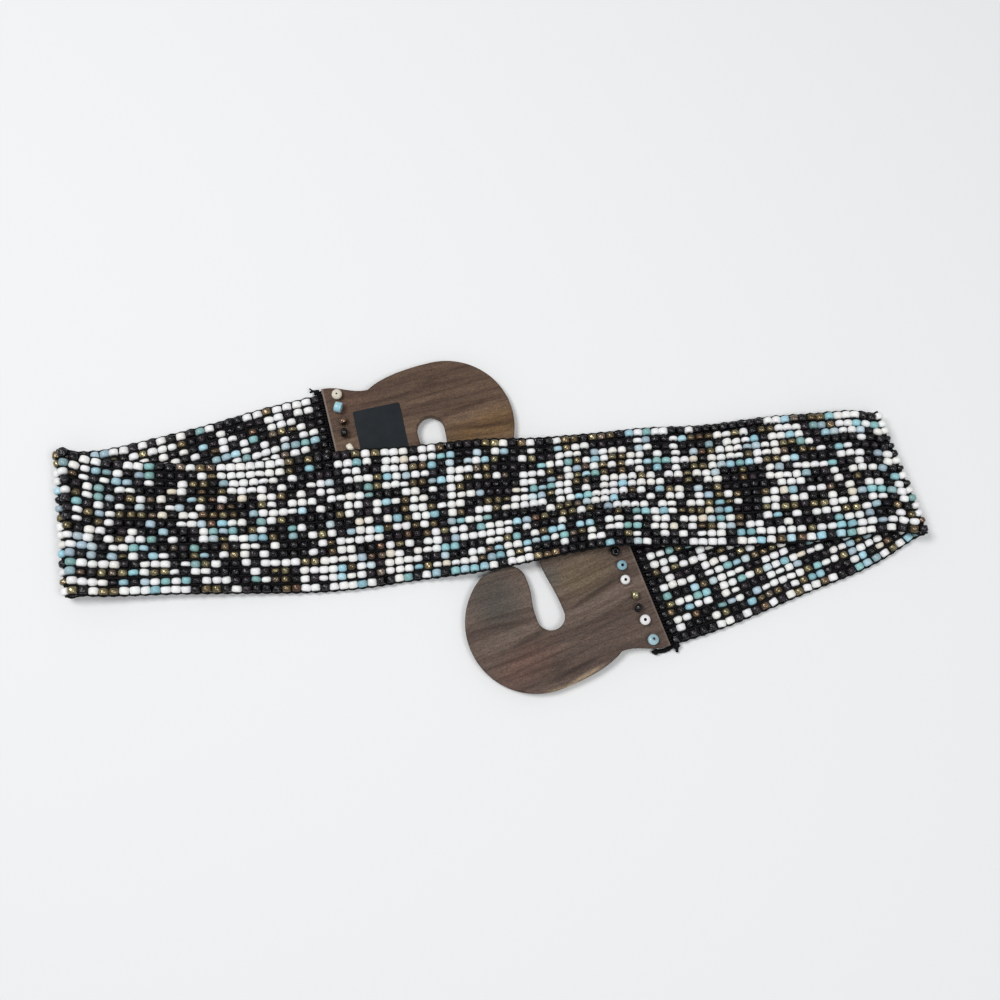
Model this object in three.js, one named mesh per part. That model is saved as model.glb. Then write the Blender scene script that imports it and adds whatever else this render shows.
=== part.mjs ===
// A stretch belt of loom-woven seed beads, with a wooden hook plate on each end.
// It lies folded on a flat surface: the long front on top, both tails turned back under it.
// Millimetres, +Z up, +X to the right along the belt, +Y away from the viewer.
import * as THREE from "three";

// Woven band
const frontLength = 378; // between the outer lines of the two folds
const bandWidth = 60;
const bandThickness = 4.2; // one bead
const bandEdgeRounding = 0.9;
const foldRadius = 3.6; // to the middle of the band

// Hook plate
const plateLength = 82;
const plateThickness = 4.5;
const plateEndWidth = 61;
const plateRimRounding = 0.8;
const discRadius = 31;
const waistDepth = 5.3; // in from the corners of the straight end, on each side
const waistAt = 20.5; // from the straight end
const slotRadius = 6.2;
const slotSetback = 7.1; // from the middle of the disc to the middle of the slot's round end
const neckWidth = 8.2;
const neckDepth = 17; // from the middle of the round end to the neck
const freeLobeRadius = 7.6;
const bodyLobeRadius = 4.5;
const freeLobeSag = 0.4; // share of its radius that the free lobe's middle lies beyond the neck
const freeLobeBlend = 60; // degrees of the disc's edge below +X, where the free lobe's curve leaves it
const shoulderRun = 0.3; // share of the disc's radius from the waist to where the shoulder turns
const bendRun = 0.6; // share of a smooth bend's length that its two ends run straight on

// Holes, ties and stopper beads along the straight end
const holeCount = 8;
const holeMargin = 4.9; // from the corner that shows to the first hole
const farHoleMargin = 7.8; // from the last hole to the other corner
const holePitch = (plateEndWidth - holeMargin - farHoleMargin) / (holeCount - 1);
const holeInset = 6.5;
const holeDiameter = 2;
const tieDiameter = 1.2;
const tieTurn = 1.5; // from the corner under the hole to where the tie runs straight
const stopperDiameter = 4.6;
const stopperLength = 3.3;
const stopperHoleDiameter = 1.9;
const stopperShoulder = 0.72; // share of the stopper bead's radius where its rounded ends begin
const tieReach = 0.6; // share of a standing bead's length that its tie reaches into

// Label on the first plate
const labelSide = 21.4;
const labelThickness = 0.4;
const labelCornerRadius = 0.8;
const labelPastWaist = 1.5;
const labelTurn = -1.4; // degrees

// Clearances
const seatGap = 0.3; // between pieces that touch
const endGap = 1; // between the band's end and the plate's straight end

// The straight end of a plate lies on its ties, and the far side of its disc on the surface.
const tieHeight = tieDiameter / 2 + seatGap / 3;
const tieRoom = tieHeight + tieDiameter / 2 + seatGap;
const plateLift = tieRoom / (1 - (holeInset + tieDiameter) / plateLength);
const plateTilt = Math.asin(plateLift / plateLength);

// What the front lies on, as the height of its underside there.
const rise = {
  fold: 2 * foldRadius,
  tail: bandThickness + seatGap,
  wood: plateLift + plateThickness + seatGap,
  stopper: plateLift + plateThickness + stopperLength + 2 * seatGap,
};

// Sections of the band. Along is a share of the front's length, across and width are shares of the
// band's width, and lean is in degrees, turned left from +Y. The folds' rows give their outer lines.
const leftFold = { along: -0.52, across: -0.2, lean: 7.7, width: 1.12 };
const rightFold = { along: 0.48, across: 0.2, lean: 18.4, width: 0.98 };
const firstTail = [
  { along: -0.198, across: 0.34, lean: 14.2, width: 0.975 },
  { along: -0.265, across: 0.227, lean: 14.5, width: 0.985 },
  { along: -0.331, across: 0.092, lean: 13, width: 1 },
  { along: -0.397, across: -0.033, lean: 11, width: 1.03 },
  { along: -0.463, across: -0.145, lean: 9, width: 1.06 },
];
const secondTail = [
  { along: 0.408, across: -0.045, lean: 18.5, width: 0.99 },
  { along: 0.322, across: -0.262, lean: 19.5, width: 1 },
  { along: 0.238, across: -0.472, lean: 20.5, width: 1.02 },
  { along: 0.17, across: -0.613, lean: 21, width: 1.03 },
];
// A row of the front also has what it lies over, and under: its underside's heights from the far edge
// to the near one, as shares of that rise.
const front = [
  { along: -0.463, across: -0.225, lean: 7, width: 1.05, over: "tail", under: [1.15, 1.12, 1.1, 1.1, 1.1] },
  { along: -0.384, across: -0.233, lean: 6, width: 0.99, over: "tail", under: [1, 1, 1, 1.04, 0.7] },
  { along: -0.304, across: -0.225, lean: 4.5, width: 0.985, over: "tail", under: [1, 1, 1.05, 0.94, 0.35] },
  { along: -0.225, across: -0.198, lean: 3.5, width: 1.02, over: "tail", under: [1.35, 1.3, 1.2, 0.6, 0.05] },
  { along: -0.167, across: -0.17, lean: 3, width: 1.02, over: "stopper", under: [1, 1.04, 0.92, 0.4, 0.05] },
  { along: -0.106, across: -0.122, lean: 3, width: 1, over: "wood", under: [1.05, 1.08, 0.85, 0.3, 0] },
  { along: -0.026, across: -0.065, lean: 3, width: 1, over: "wood", under: [1, 1, 0.6, 0.35, 0.75] },
  { along: 0.04, across: -0.017, lean: 3, width: 0.935, over: "wood", under: [0.8, 0.45, 0.35, 0.85, 1] },
  { along: 0.087, across: 0.035, lean: 3, width: 0.915, over: "wood", under: [0.1, 0.05, 0.3, 0.85, 1.05] },
  { along: 0.132, across: 0.066, lean: 3, width: 0.91, over: "stopper", under: [0, 0.05, 0.4, 0.98, 1.02] },
  { along: 0.18, across: 0.088, lean: 3.5, width: 0.93, over: "tail", under: [0, 0.2, 0.8, 1.3, 1.4] },
  { along: 0.251, across: 0.1, lean: 5, width: 0.95, over: "tail", under: [0, 0.5, 1.08, 1.03, 1] },
  { along: 0.331, across: 0.142, lean: 8, width: 0.99, over: "tail", under: [0.3, 0.93, 1.06, 1, 1] },
  { along: 0.392, across: 0.172, lean: 12, width: 0.98, over: "tail", under: [0.75, 1.06, 1.02, 1, 1] },
  { along: 0.437, across: 0.2, lean: 15.5, width: 0.965, over: "tail", under: [1.1, 1.15, 1.15, 1.15, 1.15] },
];
const stationsPerTailRow = 3;
const stationsPerFrontRow = 4;
const stationsPerFold = 6;
const strips = 7; // faces across the band

// Stopper beads of each plate, from the corner that shows. Size is a share of the stopper bead's and
// turn is in degrees. The holes are drilled by hand: down and inward are how far each one strays along
// the row and away from the straight end, as shares of the pitch.
const stoppers = [
  [
    { colour: "cream", lies: false, turn: 0, size: 1, down: 0, inward: 0 },
    { colour: "turquoise", lies: true, turn: 62, size: 1.04, down: -0.1, inward: -0.1 },
    { colour: "gold", lies: true, turn: 15, size: 0.85, down: -0.13, inward: 0 },
    { colour: "black", lies: true, turn: 80, size: 0.9, down: -0.34, inward: -0.1 },
    { colour: "cream", lies: true, turn: -70, size: 0.9, down: -0.25, inward: 0.05 },
    { colour: "black", lies: false, turn: 0, size: 0.92, down: -0.15, inward: 0 },
    { colour: "white", lies: false, turn: 0, size: 0.95, down: 0, inward: 0 },
    { colour: "turquoise", lies: false, turn: 0, size: 0.95, down: 0, inward: 0 },
  ],
  [
    { colour: "turquoise", lies: false, turn: 0, size: 1.02, down: 0, inward: 0 },
    { colour: "white", lies: false, turn: 0, size: 1, down: 0.33, inward: 0 },
    { colour: "black", lies: true, turn: 35, size: 0.85, down: 0.17, inward: 0.1 },
    { colour: "gold", lies: true, turn: 75, size: 0.85, down: 0, inward: 0 },
    { colour: "white", lies: false, turn: 0, size: 0.92, down: 0.14, inward: 0.2 },
    { colour: "turquoise", lies: false, turn: 0, size: 0.95, down: 0.07, inward: 0.05 },
    { colour: "black", lies: false, turn: 0, size: 0.92, down: 0.04, inward: 0.1 },
    { colour: "white", lies: false, turn: 0, size: 0.92, down: 0, inward: 0 },
  ],
];

const materials = {
  band: new THREE.MeshStandardMaterial({ color: 0x2c2c30, roughness: 0.3, metalness: 0 }),
  wood: new THREE.MeshStandardMaterial({ color: 0x4b352a, roughness: 0.5, metalness: 0 }),
  elastic: new THREE.MeshStandardMaterial({ color: 0x141416, roughness: 0.7, metalness: 0 }),
  label: new THREE.MeshStandardMaterial({ color: 0x22242a, roughness: 0.45, metalness: 0 }),
  black: new THREE.MeshStandardMaterial({ color: 0x17161b, roughness: 0.2, metalness: 0 }),
  white: new THREE.MeshStandardMaterial({ color: 0xf1f1ef, roughness: 0.25, metalness: 0 }),
  cream: new THREE.MeshStandardMaterial({ color: 0xe7dcc2, roughness: 0.25, metalness: 0 }),
  turquoise: new THREE.MeshStandardMaterial({ color: 0x6fb4bd, roughness: 0.25, metalness: 0 }),
  gold: new THREE.MeshStandardMaterial({ color: 0x8a6a34, roughness: 0.3, metalness: 0.6 }),
};

function radians(degrees) {
  return THREE.MathUtils.degToRad(degrees);
}

// The smooth curve through a list of numbers, at a place counted in entries.
function smoothAt(values, place) {
  const entry = Math.min(Math.floor(place), values.length - 2);
  const t = place - entry;
  const b = values[entry];
  const c = values[entry + 1];
  const a = entry > 0 ? values[entry - 1] : 2 * b - c;
  const d = entry + 2 < values.length ? values[entry + 2] : 2 * c - b;
  return b + (t * (c - a + t * (2 * a - 5 * b + 4 * c - d + t * (3 * (b - c) + d - a)))) / 2;
}

// One section of the band: its middle, the way across it, its width and its middle surface's heights.
function section(row, undersides) {
  return {
    x: row.along * frontLength,
    y: row.across * bandWidth,
    lean: radians(row.lean),
    width: row.width * bandWidth,
    heights: undersides.map((underside) => underside + bandThickness / 2),
  };
}

function level(height) {
  return [height, height, height, height, height];
}

// Where the band meets a fold, at the fold's start below or at its end above.
function foldSection(row, inward, angle) {
  const made = section(row, level(foldRadius * (1 - Math.cos(angle))));
  const back = inward * (foldRadius * (1 - Math.sin(angle)) + bandThickness / 2);
  made.x += back * Math.cos(made.lean);
  made.y += back * Math.sin(made.lean);
  return made;
}

function tailSection(row) {
  return section(row, level(0));
}

function frontSection(row) {
  return section(row, row.under.map((share) => share * rise[row.over]));
}

// Sections between the given ones, none lower than told, the last given one left to what follows.
function between(sections, stations, lowest) {
  const made = [];
  for (let i = 0; i < (sections.length - 1) * stations; i++) {
    const value = (read) => smoothAt(sections.map(read), i / stations);
    made.push({
      x: value((s) => s.x),
      y: value((s) => s.y),
      lean: value((s) => s.lean),
      width: value((s) => s.width),
      heights: sections[0].heights.map((_, k) => Math.max(lowest, value((s) => s.heights[k]))),
    });
  }
  return made;
}

function foldSections(row, inward, up) {
  const made = [];
  for (let i = 0; i < stationsPerFold; i++) {
    const share = i / stationsPerFold;
    made.push(foldSection(row, inward, Math.PI * (up ? share : 1 - share)));
  }
  return made;
}

function bandSections() {
  const leftBelow = foldSection(leftFold, 1, 0);
  const leftAbove = foldSection(leftFold, 1, Math.PI);
  const rightAbove = foldSection(rightFold, -1, Math.PI);
  const rightBelow = foldSection(rightFold, -1, 0);
  const ended = secondTail.map(tailSection);
  const flat = bandThickness / 2;
  return [
    ...between([...firstTail.map(tailSection), leftBelow], stationsPerTailRow, flat),
    ...foldSections(leftFold, 1, true),
    ...between([leftAbove, ...front.map(frontSection), rightAbove], stationsPerFrontRow, flat + seatGap / 2),
    ...foldSections(rightFold, -1, false),
    ...between([rightBelow, ...ended], stationsPerTailRow, flat),
    ended[ended.length - 1],
  ];
}

// A point of the band's middle surface, side going from -1 at the near edge to 1 at the far one.
function bandPoint(at, side) {
  const out = (side * at.width) / 2;
  const height = smoothAt(at.heights, (at.heights.length - 1) * (1 - side) * 0.5);
  return new THREE.Vector3(at.x - out * Math.sin(at.lean), at.y + out * Math.cos(at.lean), height);
}

function bandNormal(sections, i, side) {
  const before = bandPoint(sections[Math.max(i - 1, 0)], side);
  const after = bandPoint(sections[Math.min(i + 1, sections.length - 1)], side);
  const step = 0.1;
  const near = bandPoint(sections[i], Math.max(side - step, -1));
  const far = bandPoint(sections[i], Math.min(side + step, 1));
  return after.sub(before).cross(far.sub(near)).normalize();
}

// The band is a long flat box whose corners are laid along the sections.
function beadBand() {
  const sections = bandSections();
  const steps = sections.length - 1;
  const geometry = new THREE.BoxGeometry(1, 1, 1, steps, strips, 2);
  const corners = geometry.attributes.position;
  for (let i = 0; i < corners.count; i++) {
    const station = Math.round((corners.getX(i) + 0.5) * steps);
    const side = 2 * corners.getY(i);
    const depth = corners.getZ(i);
    const point = bandPoint(sections[station], side);
    const tucked = Math.abs(side) > 0.99 ? bandEdgeRounding * Math.abs(2 * depth) * Math.sign(side) : 0;
    const lean = sections[station].lean;
    point.addScaledVector(bandNormal(sections, station, side), depth * bandThickness);
    point.x += tucked * Math.sin(lean);
    point.y -= tucked * Math.cos(lean);
    corners.setXYZ(i, point.x, point.y, point.z);
  }
  return new THREE.Mesh(geometry, materials.band);
}

// A plate lies in its own frame: the straight end along Y at x = 0, the disc towards +X.
function plateOutline() {
  const half = plateEndWidth / 2;
  const waist = half - waistDepth;
  const disc = plateLength - discRadius;
  const slot = disc - slotSetback;
  const neck = -neckDepth;
  const freeSide = slot + neckWidth / 2;
  const bodySide = slot - neckWidth / 2;
  const shape = new THREE.Shape();
  shape.moveTo(0, half);
  shape.lineTo(0, -half);
  shape.bezierCurveTo(waistAt * (1 - bendRun), -half, waistAt * bendRun, -waist, waistAt, -waist);
  const bodyLobe = new THREE.Vector2(bodySide - bodyLobeRadius, neck - slotRadius);
  shape.quadraticCurveTo(waistAt + bodyLobeRadius, -waist, bodyLobe.x, bodyLobe.y - bodyLobeRadius);
  shape.absarc(bodyLobe.x, bodyLobe.y, bodyLobeRadius, -Math.PI / 2, 0, false);
  shape.bezierCurveTo(bodySide, neck, slot - slotRadius, neck * bendRun, slot - slotRadius, 0);
  shape.absarc(slot, 0, slotRadius, Math.PI, 0, true);
  shape.bezierCurveTo(slot + slotRadius, neck * bendRun, freeSide, neck * bendRun, freeSide, neck);
  const freeLobe = new THREE.Vector2(freeSide + freeLobeRadius, neck - freeLobeRadius * freeLobeSag);
  const blend = radians(freeLobeBlend);
  const blendEnd = new THREE.Vector2(disc + discRadius * Math.cos(blend), -discRadius * Math.sin(blend));
  const lobeEdge = freeLobe.y - freeLobeRadius;
  const blendControl = blendEnd.x - (blendEnd.y - lobeEdge) * Math.tan(blend);
  shape.absarc(freeLobe.x, freeLobe.y, freeLobeRadius, Math.PI, 1.5 * Math.PI, false);
  shape.quadraticCurveTo(blendControl, lobeEdge, blendEnd.x, blendEnd.y);
  shape.absarc(disc, 0, discRadius, -blend, 0, false);
  shape.absarc(disc, 0, discRadius, 0, Math.PI / 2, false);
  shape.quadraticCurveTo(waistAt + discRadius * shoulderRun, discRadius, waistAt, waist);
  shape.bezierCurveTo(waistAt * bendRun, waist, waistAt * (1 - bendRun), half, 0, half);
  return shape;
}

// Where a bead's hole goes through its plate.
function holePlace(bead, k) {
  const x = holeInset + bead.inward * holePitch;
  const y = plateEndWidth / 2 - holeMargin - (k + bead.down) * holePitch;
  return new THREE.Vector2(x, y);
}

function ring(radius, sides) {
  const points = [];
  for (let i = 0; i < sides; i++) {
    const angle = (2 * Math.PI * i) / sides;
    points.push(new THREE.Vector2(radius * Math.cos(angle), radius * Math.sin(angle)));
  }
  return points;
}

function hookPlate(beads) {
  const outline = plateOutline();
  beads.forEach((bead, k) => {
    const rim = ring(holeDiameter / 2, 8).map((point) => point.add(holePlace(bead, k)));
    outline.holes.push(new THREE.Path(rim));
  });
  const geometry = new THREE.ExtrudeGeometry(outline, {
    depth: plateThickness - 2 * plateRimRounding,
    bevelThickness: plateRimRounding,
    bevelSize: plateRimRounding,
    bevelOffset: -plateRimRounding,
    bevelSegments: 1,
    curveSegments: 6,
  });
  geometry.translate(0, 0, plateRimRounding);
  return new THREE.Mesh(geometry, materials.wood);
}

// A stopper bead: a drilled barrel round +Z, standing on z = 0.
function stopperBead(size) {
  const radius = (stopperDiameter * size) / 2;
  const length = stopperLength * size;
  const bore = stopperHoleDiameter / 2;
  const shoulder = radius * stopperShoulder;
  const profile = [
    [bore, length * 0.08],
    [shoulder, 0],
    [radius, length * 0.28],
    [radius, length * 0.72],
    [shoulder, length],
    [bore, length * 0.92],
    [bore, length * 0.08],
  ];
  const geometry = new THREE.LatheGeometry(profile.map(([r, z]) => new THREE.Vector2(r, z)), 12);
  geometry.rotateX(Math.PI / 2);
  return geometry;
}

function stopper(bead, k) {
  const geometry = stopperBead(bead.size);
  if (bead.lies) {
    geometry.translate(0, 0, (-stopperLength * bead.size) / 2);
    geometry.rotateX(Math.PI / 2);
    geometry.rotateZ(radians(bead.turn));
    geometry.translate(0, 0, (stopperDiameter * bead.size) / 2);
  }
  const place = holePlace(bead, k);
  geometry.translate(place.x, place.y, plateThickness + seatGap);
  return new THREE.Mesh(geometry, materials[bead.colour]);
}

// A tie leaves the band's end, runs under the plate, turns up through its hole and holds the bead.
function tie(bead, k, endWidth) {
  const hole = holePlace(bead, k);
  const fromBand = endWidth * (0.5 - (k + 0.5) / holeCount);
  const reach = bead.lies ? -plateRimRounding : seatGap + stopperLength * bead.size * tieReach;
  const top = plateLift * (1 - hole.x / plateLength) + plateThickness + reach;
  const lean = (top * plateLift) / plateLength; // the hole's top leans with the plate
  const start = new THREE.Vector3(seatGap - endGap, fromBand, tieHeight);
  const corner = new THREE.Vector3(hole.x, hole.y, tieHeight);
  const end = new THREE.Vector3(hole.x + lean, hole.y, top);
  const turnStart = corner.clone().lerp(start, tieTurn / corner.distanceTo(start));
  const turnEnd = corner.clone().lerp(end, tieTurn / corner.distanceTo(end));
  const route = new THREE.CurvePath();
  route.add(new THREE.LineCurve3(start, turnStart));
  route.add(new THREE.QuadraticBezierCurve3(turnStart, corner, turnEnd));
  route.add(new THREE.LineCurve3(turnEnd, end));
  const geometry = new THREE.ExtrudeGeometry(new THREE.Shape(ring(tieDiameter / 2, 8)), {
    steps: 7,
    extrudePath: route,
  });
  return new THREE.Mesh(geometry, materials.elastic);
}

function plateLabel() {
  const flat = labelSide / 2 - labelCornerRadius;
  const shape = new THREE.Shape();
  shape.absarc(flat, flat, labelCornerRadius, 0, Math.PI / 2, false);
  shape.absarc(-flat, flat, labelCornerRadius, Math.PI / 2, Math.PI, false);
  shape.absarc(-flat, -flat, labelCornerRadius, Math.PI, 1.5 * Math.PI, false);
  shape.absarc(flat, -flat, labelCornerRadius, 1.5 * Math.PI, 2 * Math.PI, false);
  const geometry = new THREE.ExtrudeGeometry(shape, {
    depth: labelThickness,
    bevelEnabled: false,
    curveSegments: 2,
  });
  const label = new THREE.Mesh(geometry, materials.label);
  label.position.set(waistAt + labelPastWaist, labelSide / 4, plateThickness + seatGap);
  label.rotation.z = radians(labelTurn);
  return label;
}

// A plate with its beads and ties, set against the end of a tail.
function plateGroup(number, tailEnd, turned) {
  const group = new THREE.Group();
  const end = section(tailEnd, level(0));
  const facing = end.lean + (turned ? Math.PI : 0);
  group.position.set(end.x + endGap * Math.cos(facing), end.y + endGap * Math.sin(facing), 0);
  group.rotation.z = facing;

  const tilted = new THREE.Group();
  tilted.position.z = plateLift;
  tilted.rotation.y = plateTilt;
  group.add(tilted);
  const beads = stoppers[number - 1];
  const plate = hookPlate(beads);
  plate.name = `hook_plate_${number}`;
  tilted.add(plate);
  beads.forEach((bead, k) => {
    const made = stopper(bead, k);
    made.name = `stopper_bead_${number}_${k + 1}`;
    tilted.add(made);
    const cord = tie(bead, k, end.width);
    cord.name = `elastic_tie_${number}_${k + 1}`;
    group.add(cord);
  });
  if (number === 1) {
    const label = plateLabel();
    label.name = "plate_label";
    tilted.add(label);
  }
  return group;
}

// The origin is under the middle of the belt's box.
const belt = new THREE.Group();
const band = beadBand();
band.name = "bead_band";
belt.add(band);
belt.add(plateGroup(1, firstTail[0], false));
belt.add(plateGroup(2, secondTail[secondTail.length - 1], true));
const box = new THREE.Box3().setFromObject(belt, true);
belt.position.set(-(box.min.x + box.max.x) / 2, -(box.min.y + box.max.y) / 2, -box.min.z);

export default belt;
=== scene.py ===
import math

import bmesh
import bpy
import numpy as np
from mathutils import Matrix, Vector


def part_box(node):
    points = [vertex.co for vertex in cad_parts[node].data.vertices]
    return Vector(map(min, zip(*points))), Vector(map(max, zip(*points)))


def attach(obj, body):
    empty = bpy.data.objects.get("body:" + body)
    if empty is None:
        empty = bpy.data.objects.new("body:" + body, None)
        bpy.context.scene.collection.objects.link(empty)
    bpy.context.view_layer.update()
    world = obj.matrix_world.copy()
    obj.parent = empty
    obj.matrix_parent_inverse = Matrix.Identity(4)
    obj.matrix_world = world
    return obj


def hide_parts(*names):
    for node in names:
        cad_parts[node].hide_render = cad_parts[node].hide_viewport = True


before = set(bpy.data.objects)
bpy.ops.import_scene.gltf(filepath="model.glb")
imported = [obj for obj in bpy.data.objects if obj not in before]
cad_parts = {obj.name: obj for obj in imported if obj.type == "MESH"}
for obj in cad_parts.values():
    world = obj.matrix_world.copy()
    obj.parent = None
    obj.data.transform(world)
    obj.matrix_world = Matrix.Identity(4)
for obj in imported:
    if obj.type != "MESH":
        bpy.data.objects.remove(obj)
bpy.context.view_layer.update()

# Lengths are millimetres in the belt's own drawing, whose zero is on the surface near the middle of
# the front. The last step before a mesh is made moves them into the frame and turns them to metres.
MM = 0.001

# Woven band
front_length = 378
band_width = 60
band_thickness = 4.2
fold_radius = 3.6
bead_rows = 16
edge_cord_room = 0.7
bead_bore = 0.72
warp_radius = 0.42
warp_flatness = 1.6
weft_radius = 0.5
filler_radius = 0.4
edge_cord_radius = 0.42

# Hook plates
plate_length = 82
plate_thickness = 4.5
plate_end_width = 61
plate_rim = 0.8
disc_radius = 31
waist_depth = 5.3
waist_at = 20.5
slot_radius = 6.2
slot_setback = 7.1
neck_width = 8.2
neck_depth = 17
free_lobe_radius = 7.6
free_lobe_sag = 0.4
free_lobe_blend = math.radians(60)
body_lobe_radius = 4.5
shoulder_run = 0.3
bend_run = 0.6

# Holes, ties and stopper beads
hole_count = 8
hole_margin = 4.9
far_hole_margin = 7.8
hole_pitch = (plate_end_width - hole_margin - far_hole_margin) / (hole_count - 1)
hole_inset = 6.5
hole_radius = 1
tie_radius = 0.6
tie_turn = 1.5
tie_reach = 0.6
stopper_radius = 2.3
stopper_length = 3.3
stopper_squareness = 3.1
stopper_taper = 0.02

# Label
label_side = 21.4
label_thickness = 0.4
label_corner = 0.8
label_rim = 0.08
label_place = (waist_at + 1.5, label_side / 4)
label_lift = 0.02
label_turn = math.radians(-1.4)

# Seats
seat_gap = 0.3
end_gap = 1
tie_height = tie_radius + seat_gap / 3
tie_room = tie_height + tie_radius + seat_gap
plate_lift = tie_room / (1 - (hole_inset + 2 * tie_radius) / plate_length)
plate_tilt = math.asin(plate_lift / plate_length)

rise = {
    "fold": 2 * fold_radius,
    "tail": band_thickness + seat_gap,
    "wood": plate_lift + plate_thickness + seat_gap,
    "stopper": plate_lift + plate_thickness + stopper_length + 2 * seat_gap,
}

# Sections of the band: along as a share of the front's length, across and width as shares of the
# band's width, and lean in degrees, turned left from +Y. The folds' rows give their outer lines.
left_fold = (-0.52, -0.2, 7.7, 1.12)
right_fold = (0.48, 0.2, 18.4, 0.98)
first_tail = [
    (-0.198, 0.34, 14.2, 0.975),
    (-0.265, 0.227, 14.5, 0.985),
    (-0.331, 0.092, 13, 1),
    (-0.397, -0.033, 11, 1.03),
    (-0.463, -0.145, 9, 1.06),
]
second_tail = [
    (0.408, -0.045, 18.5, 0.99),
    (0.322, -0.262, 19.5, 1),
    (0.238, -0.472, 20.5, 1.02),
    (0.17, -0.613, 21, 1.03),
]
# The front's rows go on with what they lie over and the underside's heights from the far edge to the
# near one, as shares of that rise.
front = [
    (-0.463, -0.225, 7, 1.05, "tail", [1.15, 1.12, 1.1, 1.1, 1.1]),
    (-0.384, -0.233, 6, 0.99, "tail", [1, 1, 1, 1.04, 0.7]),
    (-0.304, -0.225, 4.5, 0.985, "tail", [1, 1, 1.05, 0.94, 0.35]),
    (-0.225, -0.198, 3.5, 1.02, "tail", [1.35, 1.3, 1.2, 0.6, 0.05]),
    (-0.167, -0.17, 3, 1.02, "stopper", [1, 1.04, 0.92, 0.4, 0.05]),
    (-0.106, -0.122, 3, 1, "wood", [1.05, 1.08, 0.85, 0.3, 0]),
    (-0.026, -0.065, 3, 1, "wood", [1, 1, 0.6, 0.35, 0.75]),
    (0.04, -0.017, 3, 0.935, "wood", [0.8, 0.45, 0.35, 0.85, 1]),
    (0.087, 0.035, 3, 0.915, "wood", [0.1, 0.05, 0.3, 0.85, 1.05]),
    (0.132, 0.066, 3, 0.91, "stopper", [0, 0.05, 0.4, 0.98, 1.02]),
    (0.18, 0.088, 3.5, 0.93, "tail", [0, 0.2, 0.8, 1.3, 1.4]),
    (0.251, 0.1, 5, 0.95, "tail", [0, 0.5, 1.08, 1.03, 1]),
    (0.331, 0.142, 8, 0.99, "tail", [0.3, 0.93, 1.06, 1, 1]),
    (0.392, 0.172, 12, 0.98, "tail", [0.75, 1.06, 1.02, 1, 1]),
    (0.437, 0.2, 15.5, 0.965, "tail", [1.1, 1.15, 1.15, 1.15, 1.15]),
]
samples_per_row = 40
samples_per_fold = 60

# Bead pitch along the band, in the order that the band runs: first tail's end, left fold, middle of
# the front, right fold, second tail's end.
bead_pitch = [4.5, 4.7, 4.0, 4.2, 4.25]

# Colours of the beads: share of the beads, an extra chance that the next bead in a row repeats the
# colour, and size against the pitch.
bead_mix = {
    "black": {"share": 0.32, "again": 0.05, "size": 0.97},
    "white": {"share": 0.39, "again": 0.04, "size": 1.03},
    "turquoise": {"share": 0.14, "again": 0.12, "size": 1.01},
    "gold": {"share": 0.14, "again": 0.15, "size": 0.92},
    "cream": {"share": 0.01, "again": 0, "size": 0.99},
}

# Stopper beads of each plate, from the corner that shows: colour, lying or standing, turn in degrees,
# size, and how far the hole strays along the row and inward, as shares of the pitch. Their looks name
# squareness, bore, hue, tone and lean in degrees, for the few that differ from the rest.
stoppers = [
    [
        ("cream", False, 0, 1, 0, 0),
        ("turquoise", True, 62, 1.04, -0.1, -0.1),
        ("gold", True, 15, 0.85, -0.13, 0),
        ("black", True, 80, 0.9, -0.34, -0.1),
        ("cream", True, -70, 0.9, -0.25, 0.05),
        ("black", False, 0, 0.92, -0.15, 0),
        ("white", False, 0, 0.95, 0, 0),
        ("turquoise", False, 0, 0.95, 0, 0),
    ],
    [
        ("turquoise", False, 0, 1.02, 0, 0),
        ("white", False, 0, 1, 0.33, 0),
        ("black", True, 35, 0.85, 0.17, 0.1),
        ("gold", True, 75, 0.85, 0, 0),
        ("white", False, 0, 0.92, 0.14, 0.2),
        ("turquoise", False, 0, 0.95, 0.07, 0.05),
        ("black", False, 0, 0.92, 0.04, 0.1),
        ("white", False, 0, 0.92, 0, 0),
    ],
]

stopper_looks = {
    (1, 1): {"squareness": 2.2, "bore": 0.4},
    (1, 2): {"squareness": 7, "hue": 0.2},
    (2, 1): {"squareness": 2.6, "bore": 0.62, "hue": 0.03, "lean": (7, -16)},
    (2, 2): {"squareness": 2.2, "bore": 0.68},
    (2, 4): {"squareness": 4.5, "hue": 0.65, "tone": 1},
    (2, 5): {"squareness": 2.2, "bore": 0.68, "lean": (-7, -4)},
    (2, 6): {"squareness": 2.2, "bore": 0.7, "hue": 0.2, "lean": (-5, -8)},
}

# Camera, over the same drawing
camera_height_angle = math.radians(78)
camera_distance = 543.2
camera_view_angle = math.radians(45)


def between(a, b, c, d, t):
    """The smooth curve from b to c, a share t of the way, with a before them and d after them."""
    return b + t * (c - a + t * (2 * a - 5 * b + 4 * c - d + t * (3 * (b - c) + d - a))) / 2


def smooth_at(rows, places):
    """The smooth curve through rows of numbers, at places counted in rows."""
    rows = np.asarray(rows, float)
    places = np.asarray(places, float)
    longer = np.concatenate([2 * rows[:1] - rows[1:2], rows, 2 * rows[-1:] - rows[-2:-1]])
    entry = np.clip(np.floor(places).astype(int), 0, len(rows) - 2)
    return between(*(longer[entry + i] for i in range(4)), (places - entry)[:, None])


# A section of the band is a row of numbers: x, y, lean, width and five heights of its middle surface.
def section(row, undersides):
    along, across, lean, width = row[:4]
    heights = [underside + band_thickness / 2 for underside in undersides]
    return [along * front_length, across * band_width, math.radians(lean), width * band_width, *heights]


def fold_section(row, inward, angle):
    made = section(row, [fold_radius * (1 - math.cos(angle))] * 5)
    back = inward * (fold_radius * (1 - math.sin(angle)) + band_thickness / 2)
    made[0] += back * math.cos(made[2])
    made[1] += back * math.sin(made[2])
    return made


def tail_section(row):
    return section(row, [0] * 5)


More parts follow.
